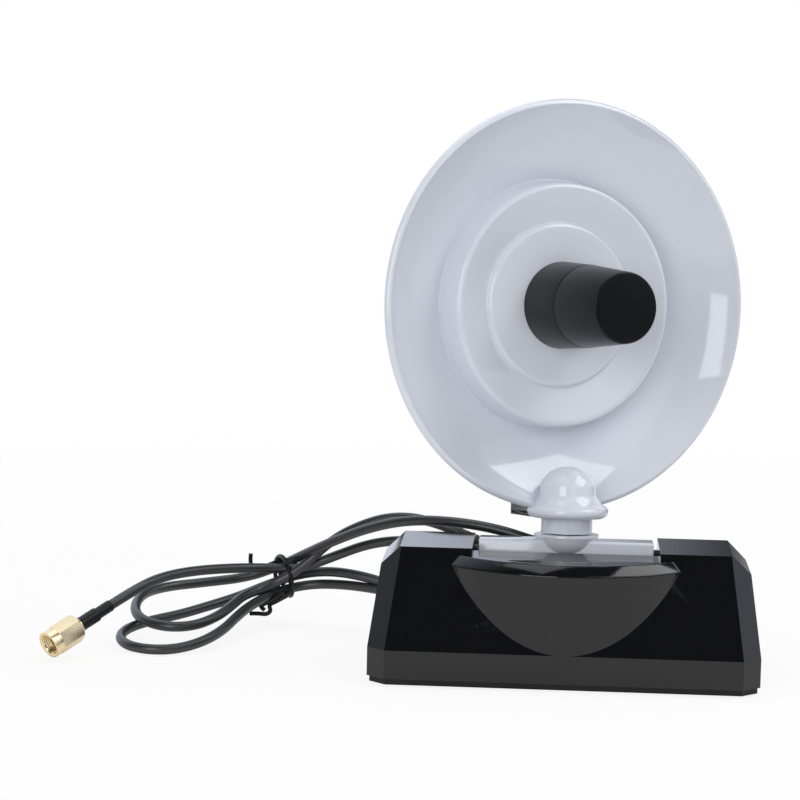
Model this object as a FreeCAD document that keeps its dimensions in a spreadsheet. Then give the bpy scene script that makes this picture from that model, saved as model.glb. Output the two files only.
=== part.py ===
import FreeCAD, Part
import Sketcher
import math
import os
import re

from FreeCAD import Placement, Rotation, Vector

# Desk-top directional wifi antenna, millimetres.
# Origin: centre of the underside on the desk. +Z up, the base's front looks along -Y.

doc = FreeCAD.newDocument("dish_antenna")
dims = doc.addObject("Spreadsheet::Sheet", "dims")

sizes = dict(
    # base housing, outside
    base_w=117, base_d=70, base_corner=5.4, skirt_top=11, shoulder_top=39.8,
    side_draw=3.6, front_draw=16, rear_draw=23, shoulder_in=8.6,
    turret_foot_r=45.4, turret_r=46.9, turret_back=10.4, turret_rear=8, deck_drop=2, lip_run=2.8,
    lip_fall=2.8, notch_half=28.2, channel_front=10.2, channel_floor=28.2,
    # base housing, inside, and what closes it
    wall=2.4, cavity_top=25.8, pad_t=0.6, pad_l=92, pad_w=50, cover_t=1.8, cover_inset=0.8,
    boss_r=3.6, boss_in_x=9, boss_in_y=8.5, ballast_room_x=21.5, ballast_room_y=16, ballast_t=8,
    screw_r=1.25, screw_l=9, head_r=2.5, head_t=1.4, screw_play=0.05,
    # tilt bar and its axle
    axle_z=35, axle_r=3, axle_l=10, axle_seat=4, axle_play=0.05, axle_end_gap=0.5,
    bar_half=26.6, bar_r=6.3, bar_top=5.5, bar_edge=0.9, flange_r=9.9, flange_top=7.2, flange_h=6,
    flange_rim=1, flange_foot_r=6, pocket_r=4.9, pocket_top=3.2,
    # swivel
    tube_r=3.2, tube_bore=1.9, tube_foot=5.9, tube_top=10.2, tube_collar_r=4.6, tube_collar_t=1.2,
    swivel_play=0.06, neck_gap=0.35, washer_t=0.55, ring_t=0.9, ring_r=4.4, groove_depth=0.5, ring_play=0.05,
    sway_hole_r=7.5,
    # yoke that holds the dish
    neck_r=7.85, neck_top=12, foot_r=12.6, foot_edge=1.4, foot_round=1.9, foot_low=12.3, foot_mid=14.2,
    foot_high=15.6, waist_r=8.6, waist_low=19.4, waist_high=22, dome_top=27.8, dome_arc_r=9.28, waist_arc_r=9,
    part_plane=3, tail_half=11.8, tail_rear=16, tail_h=5, tail_round=2.4, arm_half=8, arm_rear=29, arm_past=7,
    arm_bend=34, duct_half=2, duct_wall=1.8, screw_edge=2.6, clamp_z=20.4, clamp_seat=16, clamp_l=18,
    arm_screw_below=17, arm_screw_l=18,
    # dish, measured from its back datum plane along its axis
    dish_datum=21, rim_lift=14, lip_r=1.5, dish_t=2.2, bowl_foot_r=38.4, bowl_foot=6.5, bowl_run=24.6,
    bowl_arc_r=39.5, rim_front=19.6, plateau_in=1.2, plateau=17, plateau_round=2.2, plateau_run=11.6,
    plateau_dip=12.4, step_in=0.8, step=14.2, step_round=1.4, bore_r=6, root=0.6,
    # back of the dish
    cover_lap=1.6, lid_t=2, lid_lip_play=0.6, lid_lip=1.6, lid_boss_r=3, lid_boss_in=7.9,
    # feed
    collar_r=13.4, collar_tip_r=12.6, collar_tip=31, collar_wall=2.6, collar_floor=2.4, spigot_r=5.9,
    spigot_back=7.6, feed_tip_r=10.7, feed_tip=52, radome_wall=1.6, radome_lip=4, radome_play=0.1,
    stem_r=2.6, stem_back=7, stem_tip=45, disc_r=7, disc_t=1.2, disc_at=36, plate_r=8.4, plate_t=1,
    feed_nut_r=9, feed_nut_t=2.6, lead_r=0.6,
    # cable outlet behind the bar
    gland_x=5, gland_y=16.5, gland_z=33.2, gland_l=9, gland_r=2.9, gland_mouth_r=2.1, gland_rise=14,
    post_x=17, post_l=8, post_w=7.4, post_h=6.6, lead_drop=10, exit_run=13,
    # plug
    nut_af=8, nut_l=11.4, nut_ring_r=4.3, nut_ring_l=3, nut_web=2.2, thread_r=3,
    thread_l=3.4, relief_r=3.55, plug_neck_r=2.5, plug_play=0.06, plug_flange_r=2.9, plug_flange_t=3.4,
    plug_collar_r=3, plug_collar_t=0.8,
    ferrule_r=1.5, ferrule_l=6, ptfe_r=2.2, ptfe_l=1.2, contact_r=0.65, contact_bore=0.35, contact_l=0.8,
    sleeve_r=2.25, sleeve_thin_r=1.85, sleeve_thin_l=5.8, sleeve_l=13, sleeve_bare=0.3, plug_run=12,
    cord_d=3.2, tie_ring_r=6.8, tie_wire_r=0.7,
    # pose in which the head stands
    lean_deg=3.7, turn_deg=30.3,
)
# Sizes that follow from others.
derived = dict(
    shoulder_half="base_w / 2 - shoulder_in",
    boss_x="base_w / 2 - boss_in_x", boss_y="base_d / 2 - boss_in_y",
    ballast_l="base_w - 2 * ballast_room_x", ballast_w="base_d - 2 * ballast_room_y",
    rim_r="bowl_foot_r + bowl_run", dish_centre="rim_r + rim_lift", plateau_r="bowl_foot_r - plateau_in",
    plateau_foot_r="plateau_r - plateau_run", step_r="plateau_foot_r - step_in",
    plateau_back="plateau_dip - 1.1 * dish_t", boss_l="plateau_dip + root - lid_lip - bowl_foot + dish_t",
    cover_r="bowl_foot_r + cover_lap", lid_lip_r="bowl_foot_r - dish_t - lid_lip_play",
    lid_boss_at="bowl_foot_r - lid_boss_in", arm_top="dish_centre + arm_past",
    arm_screw_z="dish_centre - arm_screw_below",
)
for row, (name, value) in enumerate(sizes.items(), 1):
    dims.set("A%d" % row, name)
    dims.set("B%d" % row, repr(value))
    dims.setAlias("B%d" % row, name)
doc.recompute()


def ex(text):
    """The expression with each size's name written as its cell."""
    def cell(match):
        name = match.group()
        if name in derived:
            return "(" + ex(derived[name]) + ")"
        return "dims." + name if name in sizes else name
    return re.sub(r"[a-z][a-z_]*[a-z]", cell, str(text))


def val(text):
    return float(dims.evalExpression(ex(text)))


def size(obj, **exprs):
    for prop, text in exprs.items():
        obj.setExpression(prop, ex(text))
    return obj


def put(obj, at, turn=None):
    obj.Placement = Placement(Vector(), turn or Rotation())
    for axis, text in zip("xyz", at):
        obj.setExpression("Placement.Base." + axis, ex(text))
    return obj


origin = ("0", "0", "0")
to_x = Rotation(Vector(0, 1, 0), 90)
to_front = Rotation(Vector(1, 0, 0), 90)
to_rear = Rotation(Vector(1, 0, 0), -90)


def block(name, length, width, height, at=origin, turn=None):
    obj = size(doc.addObject("Part::Box", name), Length=length, Width=width, Height=height)
    return put(obj, at, turn)


def rod(name, radius, height, at=origin, turn=None):
    obj = size(doc.addObject("Part::Cylinder", name), Radius=radius, Height=height)
    return put(obj, at, turn)


def cone(name, low_r, high_r, height, at=origin, turn=None):
    obj = size(doc.addObject("Part::Cone", name), Radius1=low_r, Radius2=high_r, Height=height)
    return put(obj, at, turn)


def frustum(name, x, x_top, rear, front, rear_top, front_top, low, high, turn=None):
    """A block whose four sides lean in: half width x, depths rear and front, from z low to z high."""
    obj = size(doc.addObject("Part::Wedge", name), Ymin=low, Ymax=high,
               Xmin="-(%s)" % x, Xmax=x, X2min="-(%s)" % x_top, X2max=x_top,
               Zmin="-(%s)" % rear, Zmax=front, Z2min="-(%s)" % rear_top, Z2max=front_top)
    obj.Placement = Placement(Vector(), (turn or Rotation()) * to_front)
    return obj


def fuse(name, *shapes):
    obj = doc.addObject("Part::MultiFuse", name)
    obj.Shapes = list(shapes)
    return obj


def common(name, *shapes):
    obj = doc.addObject("Part::MultiCommon", name)
    obj.Shapes = list(shapes)
    return obj


def cut(name, base, *tools):
    obj = doc.addObject("Part::Cut", name)
    obj.Base = base
    obj.Tool = tools[0] if len(tools) == 1 else fuse(name + "_tools", *tools)
    return obj


def profile(body, name, plane, points):
    """A closed outline on one of the body's planes.

    Each point is (across, up, bend): bend is empty for a straight side to the next point, or the radius of an
    arc to it, negative where the arc bulges to the right of the way along.
    """
    sketch = body.newObject("Sketcher::SketchObject", name)
    support = [f for f in body.Origin.OriginFeatures if f.Role == plane][0]
    sketch.AttachmentSupport = [(support, "")]
    sketch.MapMode = "FlatFace"
    places = [Vector(val(p[0]), val(p[1]), 0) for p in points]
    sides = []
    for i, point in enumerate(points):
        start, end = places[i], places[(i + 1) % len(points)]
        if len(point) == 2:
            sides.append((sketch.addGeometry(Part.LineSegment(start, end)), 1, 2))
            continue
        bend = val(point[2])
        half = (end - start) * 0.5
        left = Vector(-half.y, half.x, 0).normalize()
        rise = abs(bend) - math.sqrt(bend * bend - half.Length ** 2)
        middle = start + half + left * (rise if bend > 0 else -rise)
        side = sketch.addGeometry(Part.Arc(start, middle, end))
        ends = (1, 2) if (sketch.getPoint(side, 1) - start).Length < 1e-6 else (2, 1)
        sides.append((side,) + ends)
    for i, (side, first, last) in enumerate(sides):
        after = sides[(i + 1) % len(sides)]
        sketch.addConstraint(Sketcher.Constraint("Coincident", side, last, after[0], after[1]))
    for i, point in enumerate(points):
        side, first, last = sides[i]
        for kind, text, place in (("DistanceX", point[0], places[i].x), ("DistanceY", point[1], places[i].y)):
            number = sketch.addConstraint(Sketcher.Constraint(kind, -1, 1, side, first, place))
            sketch.setExpression("Constraints[%d]" % number, ex(text))
        if len(point) == 3:
            number = sketch.addConstraint(Sketcher.Constraint("Radius", side, abs(val(point[2]))))
            sketch.setExpression("Constraints[%d]" % number, ex("abs(%s)" % point[2]))
    return sketch


def turned(name, points):
    """A body turned about its own Z axis from a half section (radius, height)."""
    body = doc.addObject("PartDesign::Body", name)
    sketch = profile(body, name + "_section", "XZ_Plane", points)
    spun = body.newObject("PartDesign::Revolution", name + "_turned")
    spun.Profile = sketch
    spun.ReferenceAxis = (sketch, ["V_Axis"])
    spun.Angle = 360
    return body


def plate(name, points, half, plane="YZ_Plane"):
    """A body of an outline on a plane, as thick on both sides of it."""
    body = doc.addObject("PartDesign::Body", name)
    sketch = profile(body, name + "_outline", plane, points)
    pad = body.newObject("PartDesign::Pad", name + "_pad")
    pad.Profile = sketch
    pad.Midplane = True
    pad.setExpression("Length", ex("2 * (%s)" % half))
    return body


def rounded(body, radius, *rings):
    """Rounds the circular edges of a turned body that lie at the given (radius, height)."""
    doc.recompute()
    solid = body.Tip
    names = []
    for number, edge in enumerate(solid.Shape.Edges, 1):
        if isinstance(edge.Curve, Part.Circle):
            here = (edge.Curve.Radius, edge.Curve.Center.z)
            if any(abs(here[0] - val(r)) < 1e-4 and abs(here[1] - val(z)) < 1e-4 for r, z in rings):
                names.append("Edge%d" % number)
    fillet = body.newObject("PartDesign::Fillet", body.Name + "_round")
    fillet.Base = (solid, names)
    fillet.setExpression("Radius", ex(radius))
    return body


pieces = {}


def piece(label, obj, place=None):
    obj.Label = label
    if place is not None:
        obj.Placement = place * obj.Placement
    pieces[label] = obj
    return obj


# Where the three moving groups stand. The cradle leans about the axle, the head turns in the cradle.
cradle = Placement(Vector(0, 0, val("axle_z")), Rotation(Vector(1, 0, 0), -val("lean_deg")))
head = cradle * Placement(Vector(), Rotation(Vector(0, 0, 1), val("turn_deg")))
dish = head * Placement(Vector(0, val("dish_datum"), val("dish_centre")), to_front)

# Base housing: a skirt, sides that lean in, chamfered shoulders and a round deck in front of the bar.
skirt_low = "pad_t + cover_t"
corner_turn = Rotation(Vector(0, 0, 1), 45)
front_corner = "(base_w / 2 + base_d / 2 - base_corner) / sqrt(2)"
front_corner_top = "(base_w / 2 - side_draw + base_d / 2 - front_draw - base_corner) / sqrt(2)"
rear_corner_top = "(base_w / 2 - side_draw + base_d / 2 - rear_draw - base_corner) / sqrt(2)"


def octagon_block(name, inset, low, high):
    """A straight block with the base's outline, drawn in all round by inset."""
    half_w, half_d = "base_w / 2 - " + inset, "base_d / 2 - " + inset
    corner = front_corner + " - " + inset
    square = frustum(name + "_square", half_w, half_w, half_d, half_d, half_d, half_d, low, high)
    askew = frustum(name + "_corners", corner, corner, corner, corner, corner, corner, low, high, corner_turn)
    return common(name, square, askew)


skirt = octagon_block("skirt", "0", skirt_low, "skirt_top")
lean = frustum("lean", "base_w / 2", "base_w / 2 - side_draw", "base_d / 2", "base_d / 2",
               "base_d / 2 - rear_draw", "base_d / 2 - front_draw", "skirt_top", "shoulder_top")
corners = size(doc.addObject("Part::Wedge", "corners"), Ymin="skirt_top", Ymax="shoulder_top",
               Xmin="-(%s)" % front_corner, Xmax=front_corner, Zmin="-(%s)" % front_corner, Zmax=front_corner,
               X2min="-(%s)" % rear_corner_top, X2max=front_corner_top,
               Z2min="-(%s)" % rear_corner_top, Z2max=front_corner_top)
corners.Placement = Placement(Vector(), Rotation(Vector(0, 0, 1), -45) * to_front)
roof_half = "shoulder_half + shoulder_top - skirt_top"
roof = frustum("roof", roof_half, "shoulder_half", "base_d", "base_d", "base_d", "base_d",
               "skirt_top", "shoulder_top")
upper = common("upper", lean, corners, roof)
deck = "shoulder_top - deck_drop"
turret_wall = cone("turret_wall", "turret_foot_r", "turret_r", deck + " - lip_fall - skirt_top",
                   ("0", "turret_back", "skirt_top"))
turret_lip = cone("turret_lip", "turret_r", "turret_r - lip_run", "lip_fall",
                  ("0", "turret_back", deck + " - lip_fall"))
turret_front = block("turret_front", "base_w", "base_d", "shoulder_top",
                     ("-base_w / 2", "turret_rear - base_d", "0"))
turret = common("turret", fuse("turret_round", turret_wall, turret_lip), turret_front)
housing_outside = fuse("housing_outside", skirt, upper, turret)

notch = block("notch", "2 * notch_half", "2 * base_d", "shoulder_top", ("-notch_half", "-base_d", deck))
channel = block("channel", "2 * notch_half", "base_d", "shoulder_top",
                ("-notch_half", "-channel_front", "channel_floor"))
axle_reach = "(notch_half + axle_l - axle_seat + axle_end_gap)"
axle_bores = rod("axle_bores", "axle_r + axle_play", "2 * " + axle_reach,
                 ("-" + axle_reach, "0", "axle_z"), to_x)
sway_hole = rod("sway_hole", "sway_hole_r", "channel_floor", ("0", "0", "cavity_top - wall"))
draw = "(cavity_top - skirt_top) / (shoulder_top - skirt_top)"
hollow_low = octagon_block("hollow_low", "wall", skirt_low, "skirt_top")
hollow_w = "base_w / 2 - base_corner - wall"
hollow_d = "base_d / 2 - base_corner - wall"
hollow_high = frustum("hollow_high", hollow_w, hollow_w + " - side_draw * " + draw, hollow_d, hollow_d,
                      hollow_d + " - rear_draw * " + draw, hollow_d + " - front_draw * " + draw,
                      "skirt_top", "cavity_top")
corners_at = [(x, y) for x in ("boss_x", "-boss_x") for y in ("boss_y", "-boss_y")]
bosses = [rod("boss_%d" % i, "boss_r", "cavity_top", (x, y, "0")) for i, (x, y) in enumerate(corners_at)]
hollow = cut("hollow", fuse("hollow_space", hollow_low, hollow_high), *bosses)
screw_holes = [rod("screw_hole_%d" % i, "screw_r + screw_play", "screw_l + wall / 2", (x, y, "pad_t"))
               for i, (x, y) in enumerate(corners_at)]
lead_hole = rod("lead_hole", "lead_r + screw_play", "channel_floor",
                ("post_x", "gland_y", "cavity_top - 2 * wall"))
piece("base_housing", cut("base_housing", housing_outside, notch, channel, axle_bores, sway_hole, hollow,
                          lead_hole, *screw_holes))

# What closes the base from below, and the weight on it.
cover_blank = octagon_block("cover_blank", "cover_inset", "pad_t", skirt_low)
cover_holes = [rod("cover_hole_%d" % i, "screw_r + screw_play", "cover_t", (x, y, "pad_t"))
               for i, (x, y) in enumerate(corners_at)]
cover_sinks = [cone("cover_sink_%d" % i, "head_r + screw_play", "screw_r + screw_play", "head_t",
                    (x, y, "pad_t")) for i, (x, y) in enumerate(corners_at)]
piece("bottom_cover", cut("bottom_cover", cover_blank, *(cover_holes + cover_sinks)))
shanks = [rod("shank_%d" % i, "screw_r", "screw_l", (x, y, "pad_t")) for i, (x, y) in enumerate(corners_at)]
heads = [cone("head_%d" % i, "head_r", "screw_r", "head_t", (x, y, "pad_t"))
         for i, (x, y) in enumerate(corners_at)]
piece("bottom_screws", fuse("bottom_screws", *(shanks + heads)))
piece("base_pad", block("base_pad", "pad_l", "pad_w", "pad_t", ("-pad_l / 2", "-pad_w / 2", "0")))
piece("ballast_plate", block("ballast_plate", "ballast_l", "ballast_w", "ballast_t",
                             ("-ballast_l / 2", "-ballast_w / 2", skirt_low)))

# Tilt bar: flat top, half-round underside about the axle, a coned flange under the neck.
bar_box = block("bar_box", "2 * bar_half", "2 * bar_r", "bar_top", ("-bar_half", "-bar_r", "0"))
bar_round = rod("bar_round", "bar_r", "2 * bar_half", ("-bar_half", "0", "0"), to_x)
flange = turned("flange", [("0", "flange_top - flange_h"), ("flange_foot_r", "flange_top - flange_h"),
                           ("flange_r", "flange_top - flange_rim"), ("flange_r", "flange_top"),
                           ("0", "flange_top")])
bar_bore = rod("bar_bore", "tube_r + swivel_play", "4 * bar_r", ("0", "0", "-2 * bar_r"))
bar_pocket = rod("bar_pocket", "pocket_r", "bar_r", ("0", "0", "-pocket_top - bar_r"))
pin_seats = [rod("pin_seat_%d" % i, "axle_r", "axle_seat", (x, "0", "0"), to_x)
             for i, x in enumerate(("-bar_half", "bar_half - axle_seat"))]
bar_edges = doc.addObject("Part::Chamfer", "bar_edges")
bar_edges.Base = bar_box
doc.recompute()
bar_edges.Edges = [(i, val("bar_edge"), val("bar_edge")) for i, e in enumerate(bar_box.Shape.Edges, 1)
                   if e.BoundBox.ZMin > val("bar_top") - 1e-6]
bar_body = fuse("bar_body", bar_edges, bar_round, flange)
piece("tilt_bar", cut("tilt_bar", bar_body, bar_bore, bar_pocket, *pin_seats), cradle)
pins = [rod("pin_%d" % i, "axle_r", "axle_l", (x, "0", "0"), to_x)
        for i, x in enumerate(("-bar_half + axle_seat - axle_l", "bar_half - axle_seat"))]
piece("axle_pins", fuse("axle_pins", *pins), cradle)
washer_low = "-pocket_top - washer_t"
washer_disc = rod("washer_disc", "ring_r", "washer_t", ("0", "0", washer_low))
washer_hole = rod("washer_hole", "tube_r + swivel_play", "washer_t", ("0", "0", washer_low))
piece("spring_washer", cut("spring_washer", washer_disc, washer_hole), cradle)

# Swivel tube with its ring, which keeps the head in the bar.
ring_low = "-pocket_top - washer_t - ring_play - ring_t"
groove = cut("groove", rod("groove_outer", "tube_r", "ring_t", ("0", "0", ring_low)),
             rod("groove_inner", "tube_r - groove_depth", "ring_t", ("0", "0", ring_low)))
tube_body = fuse("tube_body", rod("tube_wall", "tube_r", "tube_foot + tube_top", ("0", "0", "-tube_foot")),
                 rod("tube_collar", "tube_collar_r", "tube_collar_t", ("0", "0", "tube_top - tube_collar_t")))
tube_bore = rod("tube_bore_hole", "tube_bore", "tube_foot + tube_top", ("0", "0", "-tube_foot"))
piece("swivel_tube", cut("swivel_tube", tube_body, tube_bore, groove), head)
piece("retaining_ring", cut("retaining_ring", rod("ring_disc", "ring_r", "ring_t", ("0", "0", ring_low)),
                            rod("ring_hole", "tube_r - groove_depth", "ring_t", ("0", "0", ring_low))), head)

# Dish: a bowl with a stepped plateau in its middle, turned as one moulding.
front_face = [("step_r", "step"), ("plateau_foot_r", "plateau_dip"), ("plateau_r", "plateau"),
              ("bowl_foot_r", "bowl_foot", "-bowl_arc_r"), ("rim_r - lip_r", "rim_front", "lip_r")]
rim_back = ("rim_r", "rim_front - lip_r", "bowl_arc_r + dish_t")
back_face = [("bowl_foot_r", "bowl_foot - dish_t"), ("bowl_foot_r - dish_t", "bowl_foot - dish_t"),
             ("plateau_r - dish_t", "plateau - 1.2 * dish_t"), ("plateau_foot_r", "plateau_back"),
             ("bore_r", "plateau_back")]
dish_points = [("bore_r", "step")] + front_face + [rim_back] + back_face
dish_body = turned("dish_body", dish_points)
rounded(dish_body, "plateau_round", ("plateau_r", "plateau"))
rounded(dish_body, "step_round", ("step_r", "step"))
lid_boss_turns = [math.radians(a) for a in (45, 135, 225, 315)]
lid_at = [("lid_boss_at * %.6f" % math.cos(a), "lid_boss_at * %.6f" % math.sin(a)) for a in lid_boss_turns]
boss_foot = "bowl_foot - dish_t + lid_lip"
lid_bosses = [rod("lid_boss_%d" % i, "lid_boss_r", "boss_l", (x, y, boss_foot))
              for i, (x, y) in enumerate(lid_at)]
lid_drills = [rod("lid_drill_%d" % i, "screw_r", "screw_l - lid_t", (x, y, "bowl_foot - dish_t"))
              for i, (x, y) in enumerate(lid_at)]
clamp_at = [("arm_half - screw_edge", "clamp_z"), ("screw_edge - arm_half", "clamp_z")]
clamp_holes = [rod("clamp_hole_%d" % i, "screw_r", "dish_datum", (x, z + " - dish_centre", "0"))
               for i, (x, z) in enumerate(clamp_at)]
arm_at = [("arm_half - screw_edge", "arm_screw_z"), ("screw_edge - arm_half", "arm_screw_z")]
arm_bosses = [rod("arm_boss_%d" % i, "lid_boss_r", "boss_l", (x, z + " - dish_centre", boss_foot))
              for i, (x, z) in enumerate(arm_at)]
arm_drill_l = "dish_datum - arm_rear + arm_screw_l - bowl_foot + dish_t"
arm_drills = [rod("arm_drill_%d" % i, "screw_r", arm_drill_l, (x, z + " - dish_centre", "bowl_foot - dish_t"))
              for i, (x, z) in enumerate(arm_at)]
dish_blank = fuse("dish_blank", dish_body, *(lid_bosses + arm_bosses))
piece("reflector_dish", cut("reflector_dish", dish_blank, *(lid_drills + clamp_holes + arm_drills)), dish)

# Lid behind the plateau.
lid_back = "bowl_foot - dish_t - lid_t"
lid_body = fuse("lid_body", rod("lid_disc", "cover_r", "lid_t", ("0", "0", lid_back)),
                rod("lid_lip_disc", "lid_lip_r", "lid_lip", ("0", "0", "bowl_foot - dish_t")))
lid_holes = [rod("lid_hole_%d" % i, "screw_r", "lid_t + lid_lip", (x, y, lid_back))
             for i, (x, y) in enumerate(lid_at)]
lid_arm_holes = [rod("lid_arm_hole_%d" % i, "screw_r", "lid_t + lid_lip", (x, z + " - dish_centre", lid_back))
                 for i, (x, z) in enumerate(arm_at)]
lid_lead_hole = rod("lid_lead_hole", "lead_r + screw_play", "lid_t + lid_lip", ("0", "0", lid_back))
piece("rear_cover", cut("rear_cover", lid_body, lid_lead_hole, *(lid_holes + lid_arm_holes)), dish)
lid_shanks = [rod("lid_shank_%d" % i, "screw_r", "screw_l", (x, y, lid_back))
              for i, (x, y) in enumerate(lid_at)]
lid_heads = [rod("lid_head_%d" % i, "head_r", "head_t", (x, y, lid_back + " - head_t"))
             for i, (x, y) in enumerate(lid_at)]
piece("rear_cover_screws", fuse("rear_cover_screws", *(lid_shanks + lid_heads)), dish)

# Feed: a collar screwed through the dish, a cap over the radiator, and the parts under it.
feed_base = turned("feed_base", [
    ("stem_r", "step - spigot_back"), ("spigot_r", "step - spigot_back"), ("spigot_r", "step"),
    ("collar_r", "step"), ("collar_tip_r", "collar_tip"), ("collar_tip_r - collar_wall", "collar_tip"),
    ("collar_tip_r - collar_wall", "step + collar_floor"), ("stem_r", "step + collar_floor")])
piece("feed_base", feed_base, dish)
cap_inner = "feed_tip_r - radome_wall"
feed_radome = turned("feed_radome", [
    ("collar_tip_r - collar_wall - radome_play", "collar_tip - radome_lip"),
    ("collar_tip_r - collar_wall - radome_play", "collar_tip"), ("collar_tip_r", "collar_tip"),
    ("feed_tip_r", "feed_tip"), ("0", "feed_tip"), ("0", "feed_tip - radome_wall"),
    (cap_inner, "feed_tip - radome_wall"), (cap_inner, "collar_tip - radome_lip")])
piece("feed_radome", feed_radome, dish)
feed_stem = turned("feed_stem", [("0", "stem_back"), ("stem_r", "stem_back"), ("stem_r", "stem_tip"),
                                 ("0", "stem_tip")])
piece("feed_stem", feed_stem, dish)
piece("driven_disc", cut("driven_disc", rod("disc_blank", "disc_r", "disc_t", ("0", "0", "disc_at")),
                         rod("disc_hole", "stem_r", "disc_t", ("0", "0", "disc_at"))), dish)
plate_tip = "stem_tip + plate_t"
sub_reflector = turned("sub_reflector", [("0", "stem_tip"), ("plate_r", "stem_tip"), ("plate_r", plate_tip),
                                         ("0", plate_tip)])
piece("sub_reflector", sub_reflector, dish)
nut_seat = "plateau_back - feed_nut_t"
feed_nut_hex = doc.addObject("Part::Prism", "feed_nut_hex")
feed_nut_hex.Polygon = 6
size(feed_nut_hex, Circumradius="feed_nut_r", Height="feed_nut_t")
put(feed_nut_hex, ("0", "0", nut_seat))
feed_nut_hole = rod("feed_nut_hole", "spigot_r", "feed_nut_t", ("0", "0", nut_seat))
piece("feed_nut", cut("feed_nut", feed_nut_hex, feed_nut_hole), dish)

# Yoke: a bell round the neck, split behind the rim into a white front and a black rear with an arm.
bell = turned("bell", [
    ("0", "flange_top + neck_gap"), ("neck_r", "flange_top + neck_gap"), ("neck_r", "neck_top"),
    ("foot_r - foot_edge", "foot_low", "-foot_round"), ("foot_r", "foot_mid", "-foot_round"),
    ("foot_r - 0.5 * foot_edge", "foot_high", "waist_arc_r"), ("waist_r", "waist_low"),
    ("waist_r", "waist_high", "-dome_arc_r"), ("0", "dome_top")])
behind_front = turned("behind_front", [
    ("0", "bowl_foot"), ("bowl_foot_r", "bowl_foot", "-bowl_arc_r"), ("rim_r - lip_r", "rim_front", "lip_r"),
    ("rim_r", "rim_front - lip_r"), ("rim_r", "0"), ("0", "0")])
before_back = turned("before_back", [
    ("0", "bowl_foot - dish_t"), ("bowl_foot_r", "bowl_foot - dish_t", "-(bowl_arc_r + dish_t)"),
    ("rim_r", "rim_front - lip_r"), ("rim_r", "3 * dish_datum"), ("0", "3 * dish_datum")])
for tool in (behind_front, before_back):
    tool.Placement = Placement(Vector(0, val("dish_datum"), val("dish_centre")), to_front)
rear_half = block("rear_half", "4 * foot_r", "4 * foot_r", "4 * dome_top", ("-2 * foot_r", "part_plane", "0"))
front_half = block("front_half", "4 * foot_r", "4 * foot_r", "4 * dome_top",
                   ("-2 * foot_r", "part_plane - 4 * foot_r", "0"))
collar_low = ("0", "0", "tube_top - tube_collar_t")
yoke_bore = fuse("yoke_bore", rod("yoke_bore_wall", "tube_r", "tube_top"),
                 rod("yoke_bore_collar", "tube_collar_r", "tube_collar_t", collar_low))
clamp_screws = []
for i, (x, z) in enumerate(clamp_at):
    clamp_screws.append(rod("clamp_shank_%d" % i, "screw_r", "clamp_l", (x, "clamp_seat", z), to_front))
    clamp_screws.append(rod("clamp_head_%d" % i, "head_r", "head_t", (x, "clamp_seat + head_t", z), to_front))
clamp_room = fuse("clamp_room", *clamp_screws)
rim_round = rod("rim_round", "rim_r", "8 * foot_r", ("0", "-4 * foot_r", "dish_centre"), to_rear)
below_rim = cut("below_rim", rear_half, rim_round)
duct_mouth = "0.7 * duct_half"
duct_front = "arm_rear - 6 * duct_wall"
duct_back = "arm_rear - duct_wall"
duct_top = "arm_top - duct_wall"
duct = plate("duct", [
    ("-" + duct_mouth, "tube_top"), ("-" + duct_mouth, "foot_mid - 0.3 * duct_half"),
    ("2 * duct_half", "foot_mid + 0.3 * duct_half"), ("6 * duct_half", "clamp_z + 0.5 * duct_half"),
    (duct_front, "arm_bend"), (duct_front, duct_top), (duct_back, duct_top),
    (duct_back, "arm_bend + 4 * duct_half"),
    ("tail_rear + 3.5 * duct_half", "arm_bend - 3.5 * duct_half"),
    ("tail_rear + 0.5 * duct_half", "foot_high + 0.7 * duct_half"),
    ("3.5 * duct_half", "tube_top + 0.3 * duct_half"), (duct_mouth, "tube_top")], "duct_half")
piece("yoke_front", cut("yoke_front", bell, behind_front, below_rim, yoke_bore, duct, clamp_room), head)
tail_box = block("tail_box", "2 * tail_half", "tail_rear", "tail_h", ("-tail_half", "0", "foot_low"))
tail = doc.addObject("Part::Fillet", "tail")
tail.Base = tail_box
doc.recompute()
tail.Edges = [(i, val("tail_round"), val("tail_round")) for i, e in enumerate(tail_box.Shape.Edges, 1)
              if e.BoundBox.ZLength > val("tail_h") / 2 and e.BoundBox.YMin > val("tail_rear") / 2]
arm = plate("arm", [("0", "foot_low"), ("tail_rear", "foot_low"), ("tail_rear + 3 * duct_half", "clamp_z"),
                    ("arm_rear", "arm_bend"), ("arm_rear", "arm_top"), ("0", "arm_top")], "arm_half")
lid_space = rod("lid_space", "cover_r", "3 * dish_datum",
                ("0", "dish_datum - (%s)" % lid_back, "dish_centre"), to_front)
head_room = [rod("head_room_%d" % i, "head_r", "arm_rear", (x, "clamp_seat + arm_rear", z), to_front)
             for i, (x, z) in enumerate(clamp_at)]
arm_shanks = [rod("arm_shank_%d" % i, "screw_r", "arm_screw_l", (x, "arm_rear", z), to_front)
              for i, (x, z) in enumerate(arm_at)]
arm_heads = [rod("arm_head_%d" % i, "head_r", "head_t", (x, "arm_rear + head_t", z), to_front)
             for i, (x, z) in enumerate(arm_at)]
bell_rear = common("bell_rear", bell, rear_half)
yoke_blank = fuse("yoke_blank", bell_rear, tail, arm)
piece("yoke_rear", cut("yoke_rear", yoke_blank, front_half, before_back, lid_space, duct, yoke_bore,
                        clamp_room, *(arm_shanks + head_room)), head)
piece("yoke_screws", fuse("yoke_screws", *clamp_screws), head)
piece("arm_screws", fuse("arm_screws", *(arm_shanks + arm_heads)), head)


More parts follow.
